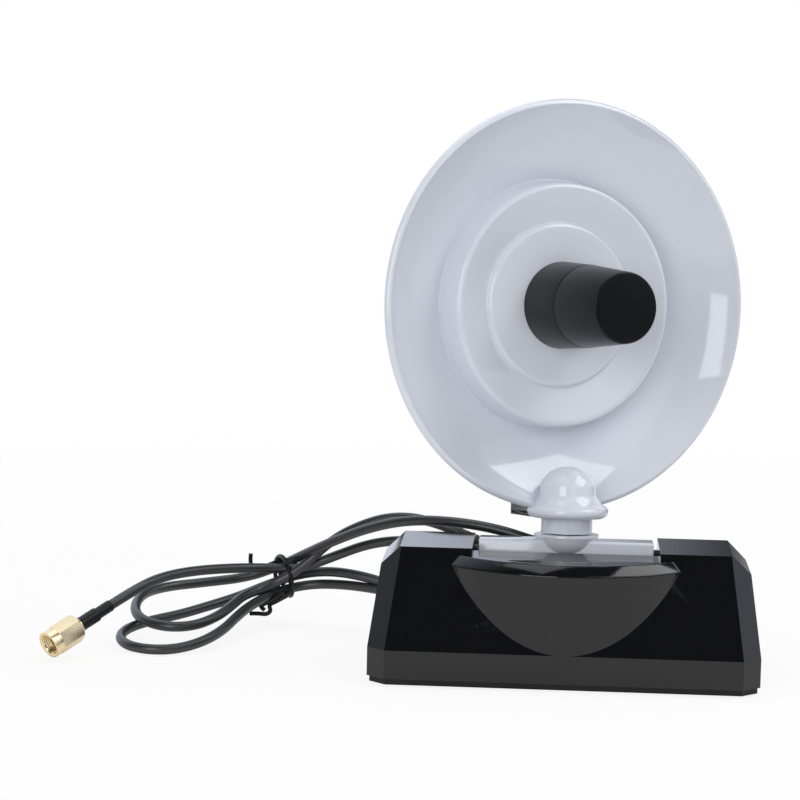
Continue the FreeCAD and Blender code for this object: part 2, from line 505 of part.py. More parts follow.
def tube(name, radius, points, place=None):
    """A round lead through the points: straight runs joined by the largest tangent arcs that they allow."""
    points = [Vector(*p) for p in points]
    edges = []
    start = points[0]
    radii = []
    for before, here, after in zip(points, points[1:], points[2:]):
        to, on = here - before, after - here
        turn = to.getAngle(on)
        shorter = min(to.Length, on.Length)
        reach = 0.45 * shorter
        radii.append(reach / math.tan(turn / 2))
        first = here - to.normalize() * reach
        last = here + on.normalize() * reach
        pull = ((first + last) * 0.5 - here).normalize()
        middle = here + pull * (radii[-1] / math.cos(turn / 2) - radii[-1])
        edges.append(Part.LineSegment(start, first).toShape())
        edges.append(Part.Arc(first, middle, last).toShape())
        start = last
    edges.append(Part.LineSegment(start, points[-1]).toShape())
    path = Part.Wire(edges)
    ring = Part.Wire(Part.Circle(points[0], points[1] - points[0], radius).toShape())
    obj = doc.addObject("Part::Feature", name)
    obj.Shape = path.makePipeShell([ring], True, False)
    if place is not None:
        obj.Placement = place
    told = math.pi * radius ** 2 * path.Length
    print("%s: length %.1f, radii %s, volume / section x length %.4f" % (
        name, path.Length, " ".join("%.1f" % r for r in radii), obj.Shape.Volume / told))
    return obj


# Leads inside the head and the base.
run_y = "arm_rear - duct_wall - 0.7 * duct_half"
feed_route = [
    ("0", "dish_datum - stem_back", "dish_centre"), ("0", run_y, "dish_centre"),
    ("0", run_y + " - 0.1 * duct_half", "dish_centre - 8 * duct_half"),
    ("0", run_y, "arm_bend + 6.5 * duct_half"), ("0", run_y + " - 1.7 * duct_half", "arm_bend - duct_half"),
    ("0", "7.25 * duct_half", "clamp_z - 0.8 * duct_half"),
    ("0", "3.5 * duct_half", "foot_mid - 0.3 * duct_half"),
    ("0", "0", "foot_mid - 0.9 * duct_half"), ("0", "0", "tube_top - 3.5 * duct_half")]
piece("feed_lead", tube("feed_lead", val("lead_r"), [tuple(val(c) for c in p) for p in feed_route]), head)
lead_z = "channel_floor - lead_drop"
base_route = [
    ("0", "0", "channel_floor - lead_r"), ("0", "0.025 * gland_y", lead_z + " + 0.1 * lead_drop"),
    ("0.32 * post_x", "0.36 * gland_y", lead_z + " - 0.4 * lead_drop"),
    ("0.7 * post_x", "0.76 * gland_y", lead_z + " - 0.4 * lead_drop"),
    ("post_x", "gland_y", lead_z + " + 0.1 * lead_drop"), ("post_x", "gland_y", "channel_floor")]
piece("base_lead", tube("base_lead", val("lead_r"), [tuple(val(c) for c in p) for p in base_route]))

# Cable outlet: a post on the channel's floor with a tapered sleeve that points along the cord.
rise = math.radians(val("gland_rise"))
out = Vector(-math.cos(rise), 0, math.sin(rise))
mouth = Vector(val("gland_x"), val("gland_y"), val("gland_z"))
post = block("post", "post_l", "post_w", "post_h",
             ("post_x - post_l / 2", "gland_y - post_w / 2", "channel_floor"))
relief = turned("relief", [("0", "0"), ("gland_r", "0"), ("gland_mouth_r", "gland_l"), ("0", "gland_l")])
relief.Placement = Placement(mouth - out * val("gland_l"), Rotation(Vector(0, 0, 1), out))
piece("cable_gland", fuse("cable_gland", post, relief))

# Cord: a free arch from the outlet to the tie, loops on both sides of the tie, and a run to the plug.
cord_r = val("cord_d / 2")
tie_at = Vector(-92, 61, 16)
plug_tip = Vector(-157.2, -13.2, 4.9)
plug_axis = Vector(-0.63, -0.676, -0.38).normalize()
nut_rear = plug_tip - plug_axis * val("nut_l")
sleeve_rear = nut_rear - plug_axis * val("plug_play + plug_collar_t + sleeve_bare + sleeve_l")
exit_route = [tuple(mouth), tuple(mouth + out * val("exit_run")), (-22, 19.5, 40.6), (-37, 24, 42.6),
              (-51, 30, 41.6), (-63.5, 37.5, 37.6), (-75, 46.6, 31.5), (-85, 56, 24.6), (-94, 65, 18.4)]
plug_route = [(-88, 60.6, 19.4), (-98.5, 56.6, 19), (-108.5, 47, 20.2), (-119, 34, 21.2), (-127.2, 22.6, 21),
              tuple(sleeve_rear - plug_axis * val("plug_run")), tuple(sleeve_rear)]
piece("cord_exit_run", tube("cord_exit_run", cord_r, exit_route))
piece("cord_plug_run", tube("cord_plug_run", cord_r, plug_route))
loop_slope = Rotation(Vector(1, 0, 0), 9.6)
front_loops = doc.addObject("Part::Ellipsoid", "cord_front_loops")
front_loops.Radius1, front_loops.Radius2, front_loops.Radius3 = 4.6, 38, 17.5
front_loops.Placement = Placement(Vector(-116, 34, 8.4), loop_slope * Rotation(Vector(0, 0, 1), 56))
piece("cord_front_loops", front_loops)
rear_loops = doc.addObject("Part::Ellipsoid", "cord_rear_loops")
rear_loops.Radius1, rear_loops.Radius2, rear_loops.Radius3 = 20.4, 57, 6.5
rear_loops.Placement = Placement(Vector(-35, 47.5, 20.8), Rotation(Vector(0, 0, 1), -12))
piece("cord_rear_loops", rear_loops)
tie = size(doc.addObject("Part::Torus", "cord_tie"), Radius1="tie_ring_r", Radius2="tie_wire_r")
tie.Placement = Placement(tie_at, Rotation(Vector(0, 0, 1), Vector(1, 0.1, 0.2)))
piece("cord_tie", tie)

# Plug on the cord's end: its axis runs from the nut's rear to the mouth.
plug = Placement(nut_rear, Rotation(Vector(0, 0, 1), plug_axis))
flange_seat = "nut_web + plug_play"
flange_front = flange_seat + " + plug_flange_t"
nut_hex = doc.addObject("Part::Prism", "nut_hex")
nut_hex.Polygon = 6
size(nut_hex, Circumradius="nut_af / sqrt(3)", Height="nut_l - nut_ring_l")
nut_ring = rod("nut_ring", "nut_ring_r", "nut_ring_l", ("0", "0", "nut_l - nut_ring_l"))
nut_thread = rod("nut_thread", "thread_r", "nut_l", ("0", "0", "nut_web"))
nut_relief = rod("nut_relief", "relief_r", "nut_l - thread_l - nut_web", ("0", "0", "nut_web"))
nut_hole = rod("nut_hole", "plug_neck_r + plug_play", "nut_l")
nut_round = cone("nut_round", "nut_af / 2", "nut_af / 2 + nut_l", "nut_l")
nut_blank = fuse("nut_blank", common("nut_rear_hex", nut_hex, nut_round), nut_ring)
piece("plug_nut", cut("plug_nut", nut_blank, nut_thread, nut_relief, nut_hole), plug)
collar_rear = "-plug_play - plug_collar_t"
ferrule_low = ("0", "0", collar_rear + " - ferrule_l")
piece("plug_body", fuse(
    "plug_body", rod("plug_ferrule", "ferrule_r", "ferrule_l", ferrule_low),
    rod("plug_collar", "plug_collar_r", "plug_collar_t", ("0", "0", collar_rear)),
    rod("plug_neck", "plug_neck_r", flange_front + " + plug_play", ("0", "0", "-plug_play")),
    rod("plug_flange", "plug_flange_r", "plug_flange_t", ("0", "0", flange_seat))), plug)
ptfe_front = flange_front + " + ptfe_l"
plug_insulator = turned("plug_insulator", [("0", flange_front), ("ptfe_r", flange_front),
                                           ("ptfe_r", ptfe_front), ("0", ptfe_front)])
piece("plug_insulator", plug_insulator, plug)
contact_rod = rod("contact_rod", "contact_r", "contact_l", ("0", "0", ptfe_front))
contact_hole = rod("contact_hole", "contact_bore", "contact_l", ("0", "0", ptfe_front))
piece("plug_contact", cut("plug_contact", contact_rod, contact_hole), plug)
sleeve_tip = collar_rear + " - sleeve_bare"
sleeve_low = sleeve_tip + " - sleeve_l"
sleeve_step = sleeve_low + " + sleeve_thin_l"
sleeve_blank = turned("sleeve_blank", [
    ("0", sleeve_low), ("sleeve_thin_r", sleeve_low), ("sleeve_thin_r", sleeve_step),
    ("sleeve_r", sleeve_step), ("sleeve_r", sleeve_tip), ("0", sleeve_tip)])
sleeve_hole = rod("sleeve_hole", "ferrule_r", "ferrule_l", ferrule_low)
piece("plug_sleeve", cut("plug_sleeve", sleeve_blank, sleeve_hole), plug)

doc.recompute()
faulty = [o.Name for o in doc.Objects if "Invalid" in o.State or "Error" in o.State]
for label, obj in pieces.items():
    if obj.Shape.isNull() or not obj.Shape.isValid() or not obj.Shape.Solids:
        faulty.append(label)
if faulty:
    raise RuntimeError("not built: " + ", ".join(faulty))
os.makedirs("parts", exist_ok=True)
for label, obj in pieces.items():
    obj.Shape.exportStep(os.path.join("parts", label + ".step"))
    print("%-20s solids %d, volume %.1f mm3" % (label, len(obj.Shape.Solids), obj.Shape.Volume))
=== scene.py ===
import math

import bmesh
import bpy
from mathutils import Matrix, Vector


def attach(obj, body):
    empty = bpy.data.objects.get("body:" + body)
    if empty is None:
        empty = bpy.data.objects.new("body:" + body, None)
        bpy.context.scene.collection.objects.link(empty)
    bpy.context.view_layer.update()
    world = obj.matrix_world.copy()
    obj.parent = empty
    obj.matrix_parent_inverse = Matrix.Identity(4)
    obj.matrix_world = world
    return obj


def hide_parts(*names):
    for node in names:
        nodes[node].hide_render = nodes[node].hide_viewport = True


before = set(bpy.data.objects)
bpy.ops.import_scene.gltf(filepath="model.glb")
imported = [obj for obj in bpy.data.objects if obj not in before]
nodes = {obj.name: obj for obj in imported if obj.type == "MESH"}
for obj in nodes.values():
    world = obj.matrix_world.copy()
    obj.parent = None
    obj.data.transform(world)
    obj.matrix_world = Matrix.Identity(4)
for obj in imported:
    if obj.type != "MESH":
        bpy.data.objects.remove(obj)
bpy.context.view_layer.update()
scene = bpy.context.scene
mm = 0.001
toMetres = Matrix.Scale(mm, 4)

# where the moving groups stand, in millimetres and degrees
standing = {"axleHeight": 35.0, "lean": 3.7, "turn": 30.3, "dishDatum": 21.0, "dishCentre": 77.0}
cradlePlace = (Matrix.Translation((0, 0, standing["axleHeight"]))
               @ Matrix.Rotation(-math.radians(standing["lean"]), 4, "X"))
headPlace = cradlePlace @ Matrix.Rotation(math.radians(standing["turn"]), 4, "Z")
dishPlace = (headPlace @ Matrix.Translation((0, standing["dishDatum"], standing["dishCentre"]))
             @ Matrix.Rotation(math.pi / 2, 4, "X"))

# camera: place, lens and sensor in millimetres, angles in radians, clip in metres
view = {"place": (-4.32, -864.56, 176.69), "yaw": -0.055, "pitch": -0.109, "roll": -0.022, "lens": 128.22,
        "sensor": 36, "clip": 20}


def makeCamera():
    ahead = Vector((math.sin(view["yaw"]) * math.cos(view["pitch"]),
                    math.cos(view["yaw"]) * math.cos(view["pitch"]), math.sin(view["pitch"])))
    right = Vector((math.cos(view["yaw"]), -math.sin(view["yaw"]), 0))
    up = right.cross(ahead)
    across = right * math.cos(view["roll"]) - up * math.sin(view["roll"])
    upright = right * math.sin(view["roll"]) + up * math.cos(view["roll"])
    data = bpy.data.cameras.new("camera")
    data.lens = view["lens"]
    data.sensor_width = view["sensor"]
    data.clip_end = view["clip"]
    camera = bpy.data.objects.new("camera", data)
    scene.collection.objects.link(camera)
    turn = Matrix((across, upright, -ahead)).transposed().to_4x4()
    camera.matrix_world = Matrix.Translation(Vector(view["place"]) * mm) @ turn
    scene.camera = camera


makeCamera()
print("camera set")

# lead: one cord from the outlet to the plug, in millimetres, its length in metres
lead = {
    "radius": 1.6,
    "exitRun": [(5, 16.5, 33.2), (-7.61, 16.5, 36.34), (-22, 19.5, 40.2), (-37, 24, 41.4), (-51, 30, 40.3),
                (-63.5, 37.5, 36.2), (-75, 46.6, 30.3), (-85, 56, 24.2), (-94, 65, 18.4)],
    "innerLoop": [(-105, 67.2, 13.8), (-119.7, 63, 12.3), (-131, 55.5, 11.9), (-137, 44, 11.4), (-137.6, 30, 9.4),
                  (-134, 19.5, 7.6), (-125.5, 13.6, 6.5), (-116.4, 15.4, 6.7), (-110, 24.6, 8.2),
                  (-106.4, 35.5, 10.2), (-104, 46, 11.6), (-97.5, 54.6, 12.9)],
    "rearLoopOne": [(-86.5, 54.6, 19.2), (-76, 55.6, 29.6), (-64, 53.2, 36), (-53.7, 51.3, 38.4), (-43, 49.2, 37.2),
                    (-30, 46.8, 32.6), (-16.5, 44.8, 27.6), (-4.9, 43.2, 24), (1, 42.6, 18.1), (1, 42.6, 9.9),
                    (-4.9, 43.2, 4), (-13.1, 44.6, 4), (-25, 47, 5), (-38, 49.4, 8.6), (-50, 51.6, 13),
                    (-62, 53.8, 17), (-75, 58.4, 18.4), (-86, 63.4, 16.6)],
    "outerLoop": [(-97, 62.4, 12.8), (-106, 54, 9.8), (-116, 43.4, 7.8), (-124, 35.2, 6.4), (-132, 29.6, 5.4),
                  (-138.4, 21.5, 4.2), (-139.6, 12.4, 3), (-135.7, 4.3, 2.1), (-128.4, 0.7, 1.7), (-120, 2.3, 1.8),
                  (-112.6, 9.4, 3), (-107.4, 19.6, 5), (-104.5, 32, 7.2), (-101.5, 44.5, 8.6), (-95, 57.2, 11)],
    "rearLoopTwo": [(-84, 61.8, 13.2), (-72, 57.4, 14.2), (-59, 52.6, 13.6), (-44, 48.2, 11.4), (-28, 44.6, 7.6),
                    (-12, 42.2, 5.2), (2.1, 40.8, 5), (9.9, 40.2, 5), (15.5, 39.8, 10.6), (15.5, 39.8, 18.4),
                    (9.9, 40.2, 24), (-4, 42.8, 27.2), (-20, 45.2, 28.6), (-38, 48.2, 30), (-53, 51, 30.6),
                    (-64, 53.6, 28.6), (-75, 58, 23.6)],
    "plugRun": [(-87, 57.8, 18.6), (-98.5, 56.6, 19), (-108.5, 47, 20.2), (-119, 34, 21.2), (-127.2, 22.6, 21),
                (-133.52, 12.21, 19.19), (-141.08, 4.09, 14.62)],
    "length": 0.95,
}
wireDetail = {"around": 6, "along": 10}


def curveAlong(name, points, radius, smooth=3, endless=False):
    data = bpy.data.curves.new(name, "CURVE")
    data.dimensions = "3D"
    data.bevel_depth = 1.0  # the points carry the radius
    data.bevel_resolution = wireDetail["around"]
    data.resolution_u = wireDetail["along"]
    data.use_fill_caps = not endless
    line = data.splines.new("NURBS")
    line.points.add(len(points) - 1)
    for spot, place in zip(line.points, points):
        spot.co = (place[0] * mm, place[1] * mm, place[2] * mm, 1)
        spot.radius = radius * mm
    line.order_u = smooth
    line.use_endpoint_u = not endless
    line.use_cyclic_u = endless
    piece = bpy.data.objects.new(name, data)
    scene.collection.objects.link(piece)
    return piece


leadRoute = [spot for run in ("exitRun", "innerLoop", "rearLoopOne", "outerLoop", "rearLoopTwo", "plugRun")
             for spot in lead[run]]
leadCord = curveAlong("lead_cord", leadRoute, lead["radius"])
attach(leadCord, "base")
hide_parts("cord_exit_run", "cord_front_loops", "cord_rear_loops", "cord_plug_run")
print("lead laid,", len(leadRoute), "points")


# shader helpers: a socket that does sums, and one method for every other node
class Value:
    def __init__(self, tree, socket):
        self.tree = tree
        self.socket = socket

    def sum(self, operation, first, second):
        node = self.tree.nodes.new("ShaderNodeMath")
        node.operation = operation
        for slot, given in zip(node.inputs, (first, second)):
            if isinstance(given, Value):
                self.tree.links.new(given.socket, slot)
            else:
                slot.default_value = given
        return Value(self.tree, node.outputs[0])

    def __add__(self, other):
        return self.sum("ADD", self, other)

    def __radd__(self, other):
        return self.sum("ADD", other, self)

    def __sub__(self, other):
        return self.sum("SUBTRACT", self, other)

    def __rsub__(self, other):
        return self.sum("SUBTRACT", other, self)

    def __mul__(self, other):
        return self.sum("MULTIPLY", self, other)

    def __rmul__(self, other):
        return self.sum("MULTIPLY", other, self)


class Finish:
    def __init__(self, block):
        block.use_nodes = True
        self.block = block
        self.tree = block.node_tree
        self.tree.nodes.clear()

    def node(self, kind, inputs, out=0, **settings):
        node = self.tree.nodes.new(kind)
        for key, value in settings.items():
            setattr(node, key, value)
        for key, value in inputs.items():
            if isinstance(value, Value):
                self.tree.links.new(value.socket, node.inputs[key])
            else:
                node.inputs[key].default_value = value
        return Value(self.tree, node.outputs[out]) if node.outputs else None

    def noise(self, scale, detail=3.0, rough=0.5):
        where = self.node("ShaderNodeTexCoord", {}, "Object")
        return self.node("ShaderNodeTexNoise", {"Vector": where, "Scale": scale, "Detail": detail, "Roughness": rough})

    def ramp(self, value, low, high):
        return self.node("ShaderNodeMapRange", {"Value": value, "From Min": low, "From Max": high})

    def between(self, share, first, second):
        # the two colour sockets of a Mix node are its inputs 6 and 7, and the mixed colour its output 2
        return self.node("ShaderNodeMix", {"Factor": share, 6: (*first, 1), 7: (*second, 1)}, 2, data_type="RGBA")

    def done(self, surface, output="ShaderNodeOutputMaterial"):
        self.node(output, {"Surface": surface})
        return self.block


def newFinish(name):
    return Finish(bpy.data.materials.new(name))


# moulded plastic: faint clouding, orange peel and scattered dust
moulded = {"cloudScale": 60.0, "peelDetail": 4.0, "peelRough": 0.6, "speckDetail": 2.0, "speckRough": 0.7,
           "speckLimits": (0.68, 0.78), "bump": 0.3, "coatRoughness": 0.06}


def plastic(name, look):
    finish = newFinish(name)
    cloudy = finish.noise(moulded["cloudScale"])
    peel = finish.noise(look["peelScale"], moulded["peelDetail"], moulded["peelRough"])
    dust = finish.noise(look["speckScale"], moulded["speckDetail"], moulded["speckRough"])
    specks = finish.ramp(dust, *moulded["speckLimits"])
    bump = finish.node("ShaderNodeBump", {"Height": peel, "Strength": moulded["bump"], "Distance": look["peelHeight"]})
    gloss = look["roughness"] + (peel - 0.5) * look["spread"] + specks * look["speckMatt"]
    shader = finish.node("ShaderNodeBsdfPrincipled", {
        "Base Color": finish.between(cloudy, look["deep"], look["colour"]), "Roughness": gloss, "Normal": bump,
        "Coat Weight": look["coat"], "Coat Roughness": moulded["coatRoughness"],
        "Specular IOR Level": look["specular"]})
    return finish.done(shader)


# plated and plain metal: slight clouding and a fine grain
plated = {"cloudScale": 240.0, "grainDetail": 4.0, "grainRough": 0.6, "bump": 0.15, "grainHeight": 0.00004}


def metal(name, look):
    finish = newFinish(name)
    cloudy = finish.noise(plated["cloudScale"])
    grain = finish.noise(look["grainScale"], plated["grainDetail"], plated["grainRough"])
    bump = finish.node("ShaderNodeBump", {"Height": grain, "Strength": plated["bump"],
                                          "Distance": plated["grainHeight"]})
    shader = finish.node("ShaderNodeBsdfPrincipled", {
        "Base Color": finish.between(cloudy, look["deep"], look["colour"]), "Metallic": 1.0, "Normal": bump,
        "Roughness": look["roughness"] + (grain - 0.5) * look["spread"]})
    return finish.done(shader)


whiteGloss = plastic("white_gloss", {
    "colour": (0.69, 0.722, 0.795), "deep": (0.67, 0.703, 0.78), "roughness": 0.08, "spread": 0.04,
    "peelScale": 900.0, "peelHeight": 0.00001, "speckScale": 700.0, "speckMatt": 0.12, "coat": 0.25, "specular": 0.5})
blackGloss = plastic("black_gloss", {
    "colour": (0.0045, 0.0045, 0.0052), "deep": (0.0035, 0.0035, 0.0042), "roughness": 0.08, "spread": 0.04,
    "peelScale": 1100.0, "peelHeight": 0.00002, "speckScale": 900.0, "speckMatt": 0.25, "coat": 0.0, "specular": 0.5})
blackSatin = plastic("black_satin", {
    "colour": (0.0052, 0.0052, 0.0058), "deep": (0.004, 0.004, 0.0045), "roughness": 0.33, "spread": 0.12,
    "peelScale": 2600.0, "peelHeight": 0.00006, "speckScale": 1200.0, "speckMatt": 0.1, "coat": 0.0, "specular": 0.3})
jacket = plastic("cable_jacket", {
    "colour": (0.022, 0.022, 0.025), "deep": (0.015, 0.015, 0.0175), "roughness": 0.38, "spread": 0.16,
    "peelScale": 1800.0, "peelHeight": 0.00008, "speckScale": 1000.0, "speckMatt": 0.15, "coat": 0.0, "specular": 0.85})
foamPad = plastic("foam_pad", {
    "colour": (0.035, 0.035, 0.035), "deep": (0.02, 0.02, 0.02), "roughness": 0.85, "spread": 0.1,
    "peelScale": 1400.0, "peelHeight": 0.0004, "speckScale": 600.0, "speckMatt": 0.1, "coat": 0.0, "specular": 0.3})
whiteInsulator = plastic("white_insulator", {
    "colour": (0.85, 0.84, 0.8), "deep": (0.8, 0.79, 0.75), "roughness": 0.35, "spread": 0.1,
    "peelScale": 900.0, "peelHeight": 0.00003, "speckScale": 900.0, "speckMatt": 0.1, "coat": 0.0, "specular": 0.5})
goldPlate = metal("gold_plate", {
    "colour": (0.97, 0.81, 0.52), "deep": (0.93, 0.74, 0.43), "roughness": 0.27, "spread": 0.1, "grainScale": 3000.0})
plainSteel = metal("plain_steel", {
    "colour": (0.62, 0.62, 0.64), "deep": (0.5, 0.5, 0.52), "roughness": 0.3, "spread": 0.16, "grainScale": 2600.0})
darkSteel = metal("dark_steel", {
    "colour": (0.05, 0.05, 0.052), "deep": (0.035, 0.035, 0.037), "roughness": 0.4, "spread": 0.16,
    "grainScale": 2600.0})
castIron = metal("cast_iron", {
    "colour": (0.2, 0.2, 0.21), "deep": (0.14, 0.14, 0.15), "roughness": 0.6, "spread": 0.2, "grainScale": 1200.0})
print("finishes mixed")

# mesh helpers, and how near counts as one: corners of a solid in metres, its flats in degrees, the poles and rings of
# a turned piece in millimetres
near = {"corner": 1e-6, "flat": 0.05, "pole": 1e-4, "ring": 1e-3}


def dress(piece, material):
    piece.data.materials.clear()
    piece.data.materials.append(material)


def asPiece(name, bm, body, material, slot, *replaced, place=None, sharp=32.0):
    if place is not None:
        bmesh.ops.transform(bm, matrix=toMetres @ place, verts=bm.verts)
    mesh = bpy.data.meshes.new(name)
    bm.to_mesh(mesh)
    bm.free()
    mesh.shade_smooth()
    mesh.set_sharp_from_angle(angle=math.radians(sharp))
    piece = bpy.data.objects.new(name, mesh)
    scene.collection.objects.link(piece)
    dress(piece, material)
    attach(piece, body)
    if replaced:
        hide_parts(*replaced)
    return piece


def solidMesh(node):
    bm = bmesh.new()
    bm.from_mesh(nodes[node].data)
    bmesh.ops.remove_doubles(bm, verts=bm.verts, dist=near["corner"])
    bmesh.ops.dissolve_limit(bm, angle_limit=math.radians(near["flat"]), verts=bm.verts, edges=bm.edges)
    return bm


def onlyVerts(geom):
    return [part for part in geom if isinstance(part, bmesh.types.BMVert)]


def ringEdges(bm, radius, height):
    return [e for e in bm.edges if all(abs(v.co.xy.length - radius) < near["ring"]
                                       and abs(v.co.z - height) < near["ring"] for v in e.verts)]


def roundEdges(bm, edges, width, segments=5, clamp=False):
    bmesh.ops.bevel(bm, geom=edges, offset=width, affect="EDGES", segments=segments, profile=0.5, material=-1,
                    clamp_overlap=clamp)


# a solid's own shape with a live bevel on each edge that turns by more than the sharp angle less a margin
def cadCopy(node, name, body, material, slot, edge, segments=3, sharp=32.0, margin=4.0):
    piece = asPiece(name, solidMesh(node), body, material, slot, node, sharp=sharp)
    bevel = piece.modifiers.new("edges", "BEVEL")
    bevel.width = edge * mm
    bevel.segments = segments
    bevel.limit_method = "ANGLE"
    bevel.angle_limit = math.radians(sharp - margin)
    bevel.harden_normals = True
    return piece


# a closed profile of (radius, height) spun round its axis; rounds are (radius, height, width)
def turned(name, profile, place, body, material, slot, *replaced, rounds=(), steps=160, sharp=32.0):
    bm = bmesh.new()
    spots = [bm.verts.new((r, 0, z)) for r, z in profile]
    sides = [bm.edges.new(pair) for pair in zip(spots, spots[1:] + spots[:1])]
    bmesh.ops.spin(bm, geom=spots + sides, cent=(0, 0, 0), axis=(0, 0, 1), angle=2 * math.pi, steps=steps,
                   use_merge=True)
    bmesh.ops.remove_doubles(bm, verts=bm.verts, dist=near["pole"])
    bmesh.ops.recalc_face_normals(bm, faces=bm.faces)
    for r, z, width in rounds:
        roundEdges(bm, ringEdges(bm, r, z), width, clamp=True)
    return asPiece(name, bm, body, material, slot, *replaced, place=place, sharp=sharp)


# points between two profile spots, on an arc that bulges to the right of the way along
def arcPoints(start, end, radius, count):
    a, b = Vector(start), Vector(end)
    half = (b - a) / 2
    left = Vector((-half.y, half.x)).normalized()
    centre = a + half + left * math.sqrt(radius * radius - half.length_squared)
    first = math.atan2(*(a - centre).yx)
    last = math.atan2(*(b - centre).yx)
    sweep = (last - first) % (2 * math.pi)
    return [tuple(centre + Vector((math.cos(t), math.sin(t))) * radius)
            for t in (first + sweep * i / count for i in range(1, count))]


# reflector: stepped plateau in a bowl with a rolled rim
dish = {"bore": 6, "step": (24.8, 14.2), "stepFoot": (25.6, 12.4), "plateau": (37.2, 17), "bowlFoot": (38.4, 6.5),
        "rim": (61.5, 19.6), "rimEdge": (63, 18.1), "lip": 1.5, "lipAngles": (0, 0.4, 0.8, 1.2), "bowlRadius": 39.5,
        "bowlSteps": 14, "wall": 2.2, "back": [(36.2, 4.3), (35, 14.36), (25.6, 9.98), (6, 9.98)],
        "rounds": {"step": 1.0, "plateau": 2.0, "bowlFoot": 0.7, "stepFoot": 0.35}, "turnSteps": 256}
bowlBack = (dish["bowlFoot"][0], dish["bowlFoot"][1] - dish["wall"])
bowlFront = arcPoints(dish["bowlFoot"], dish["rim"], dish["bowlRadius"], dish["bowlSteps"])
bowlRear = arcPoints(bowlBack, dish["rimEdge"], dish["bowlRadius"] + dish["wall"], dish["bowlSteps"])
lipArc = [(dish["rim"][0] + dish["lip"] * math.sin(a), dish["rimEdge"][1] + dish["lip"] * math.cos(a))
          for a in dish["lipAngles"]]
dishProfile = [(dish["bore"], dish["step"][1]), dish["step"], dish["stepFoot"], dish["plateau"], dish["bowlFoot"],
               *bowlFront, *lipArc, dish["rimEdge"], *bowlRear[::-1], bowlBack, *dish["back"]]
turned("dish_shell", dishProfile, dishPlace, "head", whiteGloss, "white_gloss", "reflector_dish",
       rounds=[(*dish[corner], width) for corner, width in dish["rounds"].items()], steps=dish["turnSteps"], sharp=40.0)
print("reflector turned")

# feed: collar and cap with a fine seam between them; the cap stops just off its axis, where the pole merges
feed = {"collar": [(2.6, 6.6), (5.9, 6.6), (5.9, 14.2), (13.4, 14.2), (12.6, 31), (10, 31), (10, 16.6), (2.6, 16.6)],
        "collarRounds": [(13.4, 14.2, 0.4), (12.6, 31, 0.22)],
        "cap": [(9.9, 27), (9.9, 31.12), (12.55, 31.12), (10.7, 52), (0.0001, 52), (0.0001, 50.4), (9.1, 50.4),
                (9.1, 27)],
        "capRounds": [(12.55, 31.12, 0.22), (10.7, 52, 0.55)]}
turned("feed_collar", feed["collar"], dishPlace, "head", blackSatin, "black_satin", "feed_base",
       rounds=feed["collarRounds"])
turned("feed_cap", feed["cap"], dishPlace, "head", blackSatin, "black_satin", "feed_radome",
       rounds=feed["capRounds"])
print("feed turned")

# mouldings that keep their solid's shape, with softened edges
cadCopy("base_housing", "base_shell", "base", blackGloss, "black_gloss", edge=0.4, sharp=18.0)
cadCopy("bottom_cover", "base_floor", "base", blackSatin, "black_satin", edge=0.3)
cadCopy("base_pad", "foot_pad", "base", foamPad, "foam_rubber", edge=0.15)
cadCopy("cable_gland", "lead_outlet", "base", blackSatin, "black_satin", edge=0.35)
cadCopy("yoke_front", "yoke_bell", "head", whiteGloss, "white_gloss", edge=0.35)
cadCopy("rear_cover", "dish_lid", "head", whiteGloss, "white_gloss", edge=0.5)

# yoke's rear shell: long outer corners of the lugs and the arm are rounded, picked in the head's own millimetres
yokeBack = {"shortest": 3, "cornerDegrees": 80, "lugSide": 11.5, "lugRound": 1.5, "armSide": 7.9, "armFront": 15.9,
            "armBack": 21, "armRound": 0.8}


def makeYokeBack():
    bm = solidMesh("yoke_rear")
    bmesh.ops.transform(bm, matrix=(toMetres @ headPlace).inverted(), verts=bm.verts)
    corners = [e for e in bm.edges if e.is_convex and e.calc_length() > yokeBack["shortest"]
               and e.calc_face_angle() > math.radians(yokeBack["cornerDegrees"])]
    lug = [e for e in corners if all(abs(v.co.x) > yokeBack["lugSide"] for v in e.verts)]
    arm = [e for e in corners if max(v.co.y for v in e.verts) > yokeBack["armBack"]
           and all(abs(v.co.x) > yokeBack["armSide"] and v.co.y > yokeBack["armFront"] for v in e.verts)]
    roundEdges(bm, lug, yokeBack["lugRound"])
    roundEdges(bm, arm, yokeBack["armRound"])
    asPiece("yoke_back", bm, "head", blackGloss, "black_gloss", "yoke_rear", place=headPlace, sharp=30.0)


makeYokeBack()
print("mouldings softened")

# deck front: the round wall and its sloping lip, laid over the housing's own
deck = {"foot": (45.44, 11), "wall": (46.94, 35.04), "lip": (44.14, 37.84), "inner": 42.0, "centre": 10.4,
        "halfTurn": 62.0, "turnSteps": 96, "edge": 0.35}


def makeDeckFront():
    bm = bmesh.new()
    inside = [(deck["inner"], deck["lip"][1]), (deck["inner"], deck["foot"][1])]
    spots = [bm.verts.new((0, -r, z)) for r, z in (deck["foot"], deck["wall"], deck["lip"], *inside)]
    section = bm.faces.new(spots)
    half = math.radians(deck["halfTurn"])
    bmesh.ops.rotate(bm, verts=spots, cent=(0, 0, 0), matrix=Matrix.Rotation(-half, 3, "Z"))
    bmesh.ops.spin(bm, geom=[section, *section.edges, *spots], cent=(0, 0, 0), axis=(0, 0, 1), angle=2 * half,
                   steps=deck["turnSteps"])
    bmesh.ops.recalc_face_normals(bm, faces=bm.faces)
    for corner in ("wall", "lip"):
        roundEdges(bm, ringEdges(bm, *deck[corner]), deck["edge"], segments=4)
    asPiece("deck_front", bm, "base", blackGloss, "black_gloss", place=Matrix.Translation((0, deck["centre"], 0)),
            sharp=40.0)


makeDeckFront()
print("deck front turned")

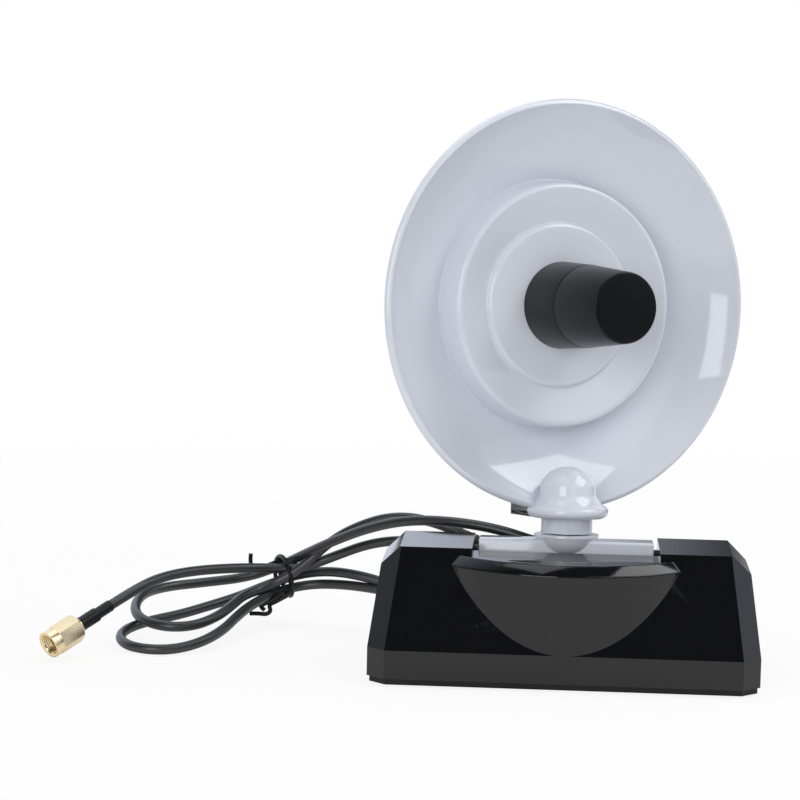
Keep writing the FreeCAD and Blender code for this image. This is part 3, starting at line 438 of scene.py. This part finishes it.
# tilt bar: half-round under a flat top, with a bowl-shaped flange below the neck
bar = {"half": 26.6, "radius": 6.3, "top": 5.5, "turnSteps": 40, "near": 0.01, "topEdge": 0.9, "endEdge": 0.4}
flange = {"bore": 4.0, "foot": (6, 1.25), "brim": 9.6, "side": 9.9, "low": 6.3, "high": 7.2, "swell": 8.0,
          "swellSteps": 10, "edge": 0.25}


def makeBar():
    bm = bmesh.new()
    start = bm.verts.new((-bar["half"], bar["radius"], 0))
    bmesh.ops.spin(bm, geom=[start], cent=(0, 0, 0), axis=(1, 0, 0), angle=-math.pi, steps=bar["turnSteps"])
    far = min(bm.verts, key=lambda v: v.co.y)
    corners = [bm.verts.new((-bar["half"], y, bar["top"])) for y in (-bar["radius"], bar["radius"])]
    for pair in ((far, corners[0]), corners, (corners[1], start)):
        bm.edges.new(pair)
    end = bmesh.ops.contextual_create(bm, geom=bm.edges[:])["faces"]
    grown = bmesh.ops.extrude_face_region(bm, geom=end, use_keep_orig=True)["geom"]
    bmesh.ops.translate(bm, vec=(2 * bar["half"], 0, 0), verts=onlyVerts(grown))
    bmesh.ops.recalc_face_normals(bm, faces=bm.faces)
    long = [e for e in bm.edges if all(v.co.z > bar["top"] - bar["near"] for v in e.verts)
            and abs(e.verts[0].co.y - e.verts[1].co.y) < bar["near"]]
    roundEdges(bm, long, bar["topEdge"])
    ends = [e for e in bm.edges if all(abs(v.co.x) > bar["half"] - bar["near"] for v in e.verts)
            and e.verts[0].co.x * e.verts[1].co.x > 0]
    roundEdges(bm, ends, bar["endEdge"], segments=3)
    asPiece("tilt_beam", bm, "cradle", whiteGloss, "white_gloss", "tilt_bar", place=cradlePlace, sharp=40.0)


makeBar()
brim = (flange["brim"], flange["low"])
flangeProfile = [(flange["bore"], flange["foot"][1]), flange["foot"],
                 *arcPoints(flange["foot"], brim, flange["swell"], flange["swellSteps"]), brim,
                 (flange["side"], flange["low"]), (flange["side"], flange["high"]), (flange["bore"], flange["high"])]
turned("neck_flange", flangeProfile, cradlePlace, "cradle", whiteGloss, "white_gloss",
       rounds=[(flange["side"], flange["high"], flange["edge"])], sharp=40.0)
print("bar and flange made")

# plug: hexagon nut with a countersunk mouth, body and sleeve
plug = {"tip": (-157.2, -13.2, 4.9), "axis": (-0.63, -0.676, -0.38), "nutLength": 11.4, "bore": 3, "countersink": 0.75,
        "endNear": 0.01, "boreNear": 0.05}
plugAxis = Vector(plug["axis"]).normalized()
plugPlace = (Matrix.Translation(Vector(plug["tip"]) - plugAxis * plug["nutLength"])
             @ Vector((0, 0, 1)).rotation_difference(plugAxis).to_matrix().to_4x4())
plugNut = cadCopy("plug_nut", "plug_nut_skin", "nut", goldPlate, "gold_brass", edge=0.22)
plugBody = cadCopy("plug_body", "plug_body_skin", "base", goldPlate, "gold_brass", edge=0.12, segments=2)
plugSleeve = cadCopy("plug_sleeve", "plug_sleeve_skin", "base", blackSatin, "black_satin", edge=0.3, segments=2)


def openMouth():
    bm = bmesh.new()
    bm.from_mesh(plugNut.data)
    back = (toMetres @ plugPlace).inverted()

    def atMouth(spot):
        end, side = spot.z - plug["nutLength"], spot.xy.length - plug["bore"]
        return end > -plug["endNear"] and abs(side) < plug["boreNear"]

    mouth = [e for e in bm.edges if all(atMouth(back @ v.co) for v in e.verts)]
    roundEdges(bm, mouth, plug["countersink"] * mm, segments=2)
    bm.to_mesh(plugNut.data)
    bm.free()


# thread inside the nut: one tooth spun up its bore, with the crest and the foot as shares of the pitch
thread = {"start": 8.2, "radius": 3.02, "depth": 0.3, "pitch": 0.7, "crest": 0.4, "foot": 0.8, "turns": 3,
          "turnSteps": 48}


def makeThread():
    bm = bmesh.new()
    wide, rise = thread["radius"], thread["pitch"]
    outline = [(wide, 0), (wide - thread["depth"], rise * thread["crest"]), (wide, rise * thread["foot"])]
    spots = [bm.verts.new((r, 0, thread["start"] + z)) for r, z in outline]
    tooth = bm.faces.new(spots)
    bmesh.ops.spin(bm, geom=[tooth, *tooth.edges, *spots], cent=(0, 0, 0), axis=(0, 0, 1),
                   dvec=(0, 0, rise / thread["turnSteps"]), angle=2 * math.pi * thread["turns"],
                   steps=thread["turnSteps"] * thread["turns"])
    bmesh.ops.recalc_face_normals(bm, faces=bm.faces)
    return asPiece("nut_thread", bm, "nut", goldPlate, "gold_brass", place=plugPlace, sharp=50.0)


openMouth()
plugThread = makeThread()
print("plug and thread made")

# screw heads that show: a cross recess in shares of the head's radius; the faces over it are still in place
screwCross = {"arm": 0.66, "width": 0.19, "depth": 0.6, "facing": 0.99, "fewestCorners": 8, "cutNear": 1e-7}


def crossHeads(node, name, body, outward):
    bm = solidMesh(node)
    side = outward.orthogonal().normalized()
    other = outward.cross(side)
    for top in [f for f in bm.faces if f.normal.dot(outward) > screwCross["facing"]
                and len(f.verts) > screwCross["fewestCorners"]]:
        centre = top.calc_center_median()
        reach = max((v.co - centre).length for v in top.verts)
        long, slim = screwCross["arm"] * reach, screwCross["width"] * reach
        patch = [top, *top.edges, *top.verts]
        for way in (side, other):
            for off in (-long, -slim, slim, long):
                patch = bmesh.ops.bisect_plane(bm, geom=patch, dist=screwCross["cutNear"],
                                               plane_co=centre + way * off, plane_no=way)["geom"]
        recess = []
        for face in (f for f in patch if isinstance(f, bmesh.types.BMFace)):
            spot = face.calc_center_median() - centre
            closer, further = sorted((abs(spot.dot(side)), abs(spot.dot(other))))
            if closer < slim and further < long:
                recess.append(face)
        sunk = bmesh.ops.extrude_face_region(bm, geom=recess)["geom"]
        bmesh.ops.translate(bm, vec=-outward * screwCross["depth"] * reach, verts=onlyVerts(sunk))
    bmesh.ops.recalc_face_normals(bm, faces=bm.faces)
    asPiece(name, bm, body, plainSteel, "steel", node)


backward = -(dishPlace.to_3x3() @ Vector((0, 0, 1)))
crossHeads("rear_cover_screws", "lid_screws", "head", backward)
crossHeads("arm_screws", "bracket_screws", "head", backward)
crossHeads("bottom_screws", "floor_screws", "base", Vector((0, 0, -1)))
print("screw heads cut")

# small and hidden solids take a finish only
plainDress = {"plug_insulator": whiteInsulator, "plug_contact": goldPlate, "ballast_plate": castIron,
              "base_lead": jacket, "axle_pins": darkSteel, "spring_washer": plainSteel, "yoke_screws": plainSteel,
              "swivel_tube": plainSteel, "retaining_ring": plainSteel, "feed_stem": goldPlate,
              "driven_disc": goldPlate, "sub_reflector": goldPlate, "feed_nut": plainSteel, "feed_lead": jacket}
for node, finish in plainDress.items():
    dress(nodes[node], finish)
dress(leadCord, jacket)

# tie: two turns of wire round the bundle, each a centre and the way the bundle runs, with a twisted tail
tie = {"rings": [((-92.6, 59.6, 16), (0.87, 0.47, 0.1)), ((-91.6, 59.4, 15.9), (0.9, 0.36, 0.2))],
       "ring": 6.9, "ringPoints": 12, "wire": 0.7,
       "tail": [(-90.6, 54.4, 10.4), (-94, 54, 8.4), (-96.5, 53, 7.4), (-95.6, 52.6, 5.4), (-97.2, 52.6, 4.2),
                (-99.7, 52.2, 4.6), (-102.6, 52, 4.5)],
       "end": [(-92, 53.6, 11.6), (-94, 53, 9.6), (-97.2, 52.6, 8), (-99.7, 53, 6.8), (-97.8, 53.4, 5.6)],
       "stub": [(-92.6, 61, 21.6), (-98, 62.5, 18.6), (-102, 63, 18), (-104, 62.6, 18.8), (-103.6, 62.4, 22.6)]}


def makeTie():
    wires = []
    angles = [2 * math.pi * k / tie["ringPoints"] for k in range(tie["ringPoints"])]
    for i, (centre, along) in enumerate(tie["rings"]):
        side = Vector(along).cross(Vector((0, 0, 1))).normalized()
        up = side.cross(Vector(along).normalized())
        around = [Vector(centre) + (side * math.cos(a) + up * math.sin(a)) * tie["ring"] for a in angles]
        wires.append(curveAlong("tie_ring_%d" % i, around, tie["wire"], smooth=4, endless=True))
    wires += [curveAlong("tie_" + part, tie[part], tie["wire"]) for part in ("tail", "end", "stub")]
    for wire in wires:
        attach(wire, "base")
        dress(wire, blackSatin)
    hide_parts("cord_tie")
    return wires


tieWires = makeTie()
print("tie and plug fitted")

# floor: pale for the shadow, mixed with white for the rays that show it, clear towards its edge (metres)
ground = {"half": 0.7, "drop": 0.00005, "grey": 0.9, "seenWhite": 0.88, "mirroredWhite": 0.2, "fade": (0.25, 0.6)}


def rayKinds(finish):
    return [finish.node("ShaderNodeLightPath", {}, kind)
            for kind in ("Is Camera Ray", "Is Glossy Ray", "Is Transmission Ray")]


def makeFloor():
    bm = bmesh.new()
    bmesh.ops.create_grid(bm, x_segments=1, y_segments=1, size=ground["half"])
    bmesh.ops.translate(bm, vec=(0, 0, -ground["drop"]), verts=bm.verts)
    mesh = bpy.data.meshes.new("floor")
    bm.to_mesh(mesh)
    bm.free()
    floor = bpy.data.objects.new("floor", mesh)
    scene.collection.objects.link(floor)
    finish = newFinish("pale_floor")
    seen, mirrored, through = rayKinds(finish)
    pale = finish.node("ShaderNodeBsdfDiffuse", {"Color": (ground["grey"], ground["grey"], ground["grey"], 1)})
    white = finish.node("ShaderNodeEmission", {"Color": (1, 1, 1, 1), "Strength": 1.0})
    share = (seen + through) * ground["seenWhite"] + mirrored * ground["mirroredWhite"]
    lit = finish.node("ShaderNodeMixShader", {0: share, 1: pale, 2: white})
    where = finish.node("ShaderNodeTexCoord", {}, "Object")
    reach = finish.node("ShaderNodeVectorMath", {0: where}, "Value", operation="LENGTH")
    clear = finish.node("ShaderNodeBsdfTransparent", {})
    faded = finish.node("ShaderNodeMixShader", {0: finish.ramp(reach, *ground["fade"]), 1: lit, 2: clear})
    dress(floor, finish.done(faded))


# backdrop: white to the camera and a plain level for light; mirrored rays see white behind on the left and two panes
# on the right, and little elsewhere (limits are shares of the ray's heading)
backdrop = {"level": 0.53, "mirrorTint": (0.88, 0.95, 1.1), "dim": 0.06, "behind": (-0.1, 0.45),
            "rightEdge": (-0.05, 0.06), "rightLoss": 0.95,
            "frontPane": {"power": 0.76, "across": (0.18, 0.34), "ahead": (-0.2, -0.4), "above": (0.25, 0.4)},
            "sidePane": {"power": 0.88, "across": (0.62, 0.76), "ahead": (-0.42, -0.3), "above": (0.06, 0.18)}}


def makeBackdrop():
    world = bpy.data.worlds.new("studio")
    scene.world = world
    finish = Finish(world)
    seen, mirrored, through = rayKinds(finish)
    heading = finish.node("ShaderNodeTexCoord", {}, "Generated")
    across, ahead, above = [finish.node("ShaderNodeSeparateXYZ", {0: heading}, way) for way in "XYZ"]
    leftward = 1.0 - backdrop["rightLoss"] * finish.ramp(across, *backdrop["rightEdge"])
    reflected = backdrop["dim"] + finish.ramp(ahead, *backdrop["behind"]) * leftward
    for pane in (backdrop["frontPane"], backdrop["sidePane"]):
        inside = (finish.ramp(across, *pane["across"]) * finish.ramp(ahead, *pane["ahead"])
                  * finish.ramp(above, *pane["above"]))
        reflected = reflected + pane["power"] * inside
    tint = finish.between(mirrored, (1, 1, 1), backdrop["mirrorTint"])
    otherRays = 1.0 - seen - mirrored - through
    strength = backdrop["level"] * otherRays + seen + through + mirrored * reflected
    finish.done(finish.node("ShaderNodeBackground", {"Color": tint, "Strength": strength}), "ShaderNodeOutputWorld")


# lamps: soft boxes, in metres and watts
softboxes = {"rightBox": {"place": (0.62, 0.0, 0.86), "aim": (0, 0, 0.08), "size": (0.7, 0.5), "power": 3.6},
             "topBox": {"place": (-0.1, 0.12, 1.0), "aim": (0, 0, 0.05), "size": (0.7, 0.5), "power": 1.7},
             "frontPanel": {"place": (-0.42, -1.15, 0.42), "aim": (0, 0, 0.1), "size": (0.6, 0.75), "power": 5.0}}


def makeSoftbox(name, box):
    data = bpy.data.lights.new(name, "AREA")
    data.shape = "RECTANGLE"
    data.size, data.size_y = box["size"]
    data.energy = box["power"]
    lamp = bpy.data.objects.new(name, data)
    lamp.location = box["place"]
    lamp.rotation_euler = (Vector(box["aim"]) - Vector(box["place"])).to_track_quat("-Z", "Y").to_euler()
    lamp.visible_camera = False
    scene.collection.objects.link(lamp)


makeFloor()
makeBackdrop()
for lampName, lampBox in softboxes.items():
    makeSoftbox(lampName, lampBox)
scene.view_settings.view_transform = "Standard"
print("studio lit")
